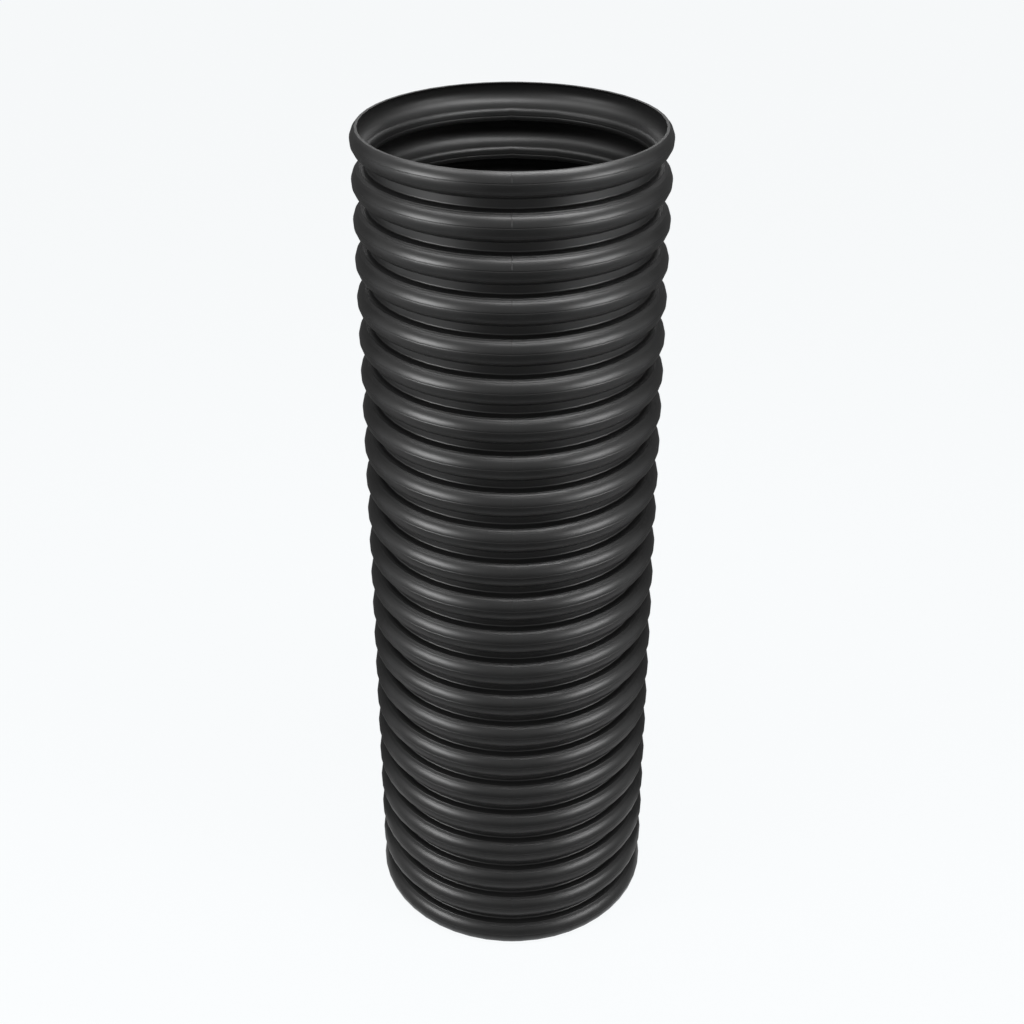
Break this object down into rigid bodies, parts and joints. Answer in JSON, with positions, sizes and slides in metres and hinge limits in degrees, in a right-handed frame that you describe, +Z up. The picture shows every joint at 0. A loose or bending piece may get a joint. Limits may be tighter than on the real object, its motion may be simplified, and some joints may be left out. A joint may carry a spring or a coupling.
{
  "type": "corrugated riser pipe",
  "caption": "Straight single-wall corrugated riser pipe in black plastic, with close half-round rings outside, hollow rings inside and both ends sawn square.",
  "frame": {"origin": "on the pipe's axis, in the plane of the bottom end's sawn face", "axes": "+Z up along the pipe's axis; +X and +Y are alike, because the pipe is round"},
  "size_m": [0.476, 0.476, 1.4],
  "materials": {
    "black_polypropylene": "moulded, low sheen"
  },
  "bodies": {
    "root": {"riser_pipe": "black_polypropylene"}
  },
  "joints": []
}
